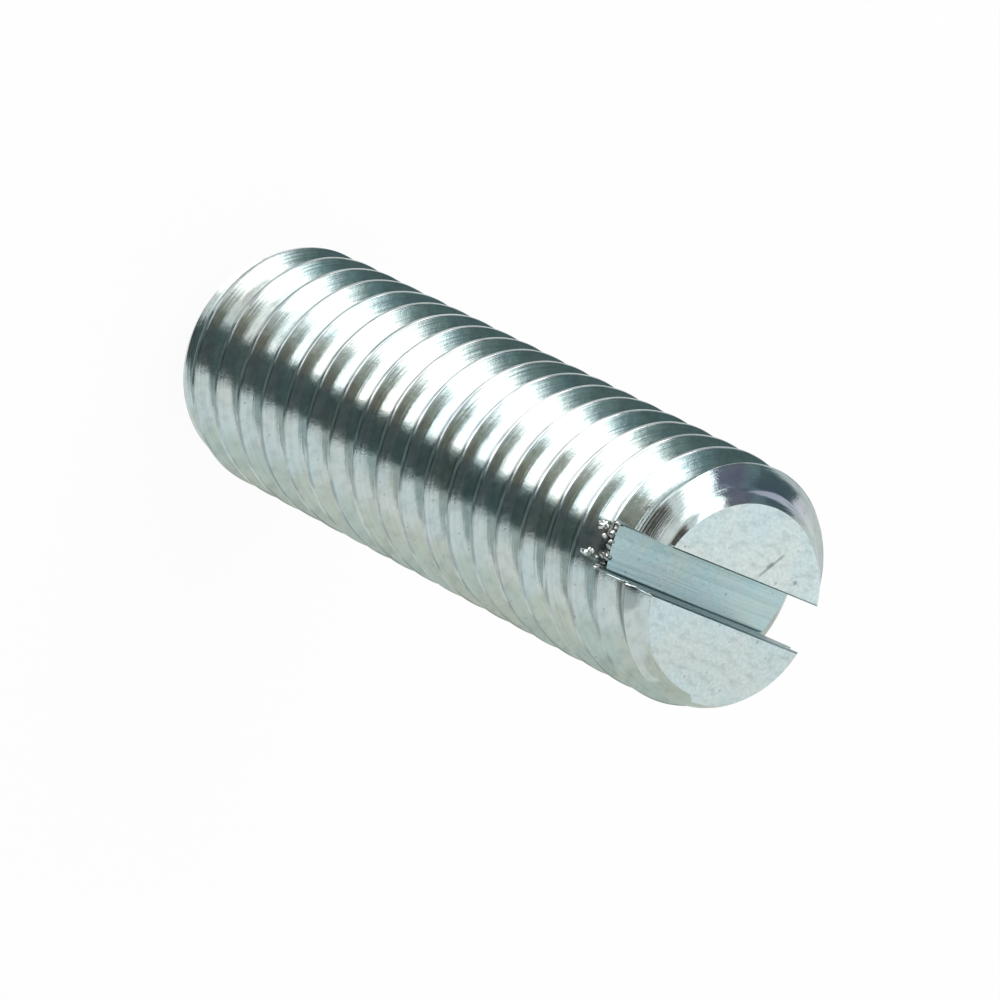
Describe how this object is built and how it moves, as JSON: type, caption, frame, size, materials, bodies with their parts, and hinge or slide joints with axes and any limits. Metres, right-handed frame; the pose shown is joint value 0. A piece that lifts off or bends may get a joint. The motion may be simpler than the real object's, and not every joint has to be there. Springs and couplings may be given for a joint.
{
  "type": "grub set screw",
  "caption": "Headless set screw, threaded all over, with a driver slot across one end and a flat chamfered point at the other.",
  "frame": {"origin": "middle of the flat point's face, which the screw stands on", "axes": "+Z along the thread's axis from the flat point to the slotted end, X along the driver slot"},
  "size_m": [0.006, 0.006, 0.02],
  "materials": {
    "zinc_plated_steel": "bright zinc plating with a pale blue passivation"
  },
  "bodies": {
    "root": {"set_screw": "zinc_plated_steel"}
  },
  "joints": []
}
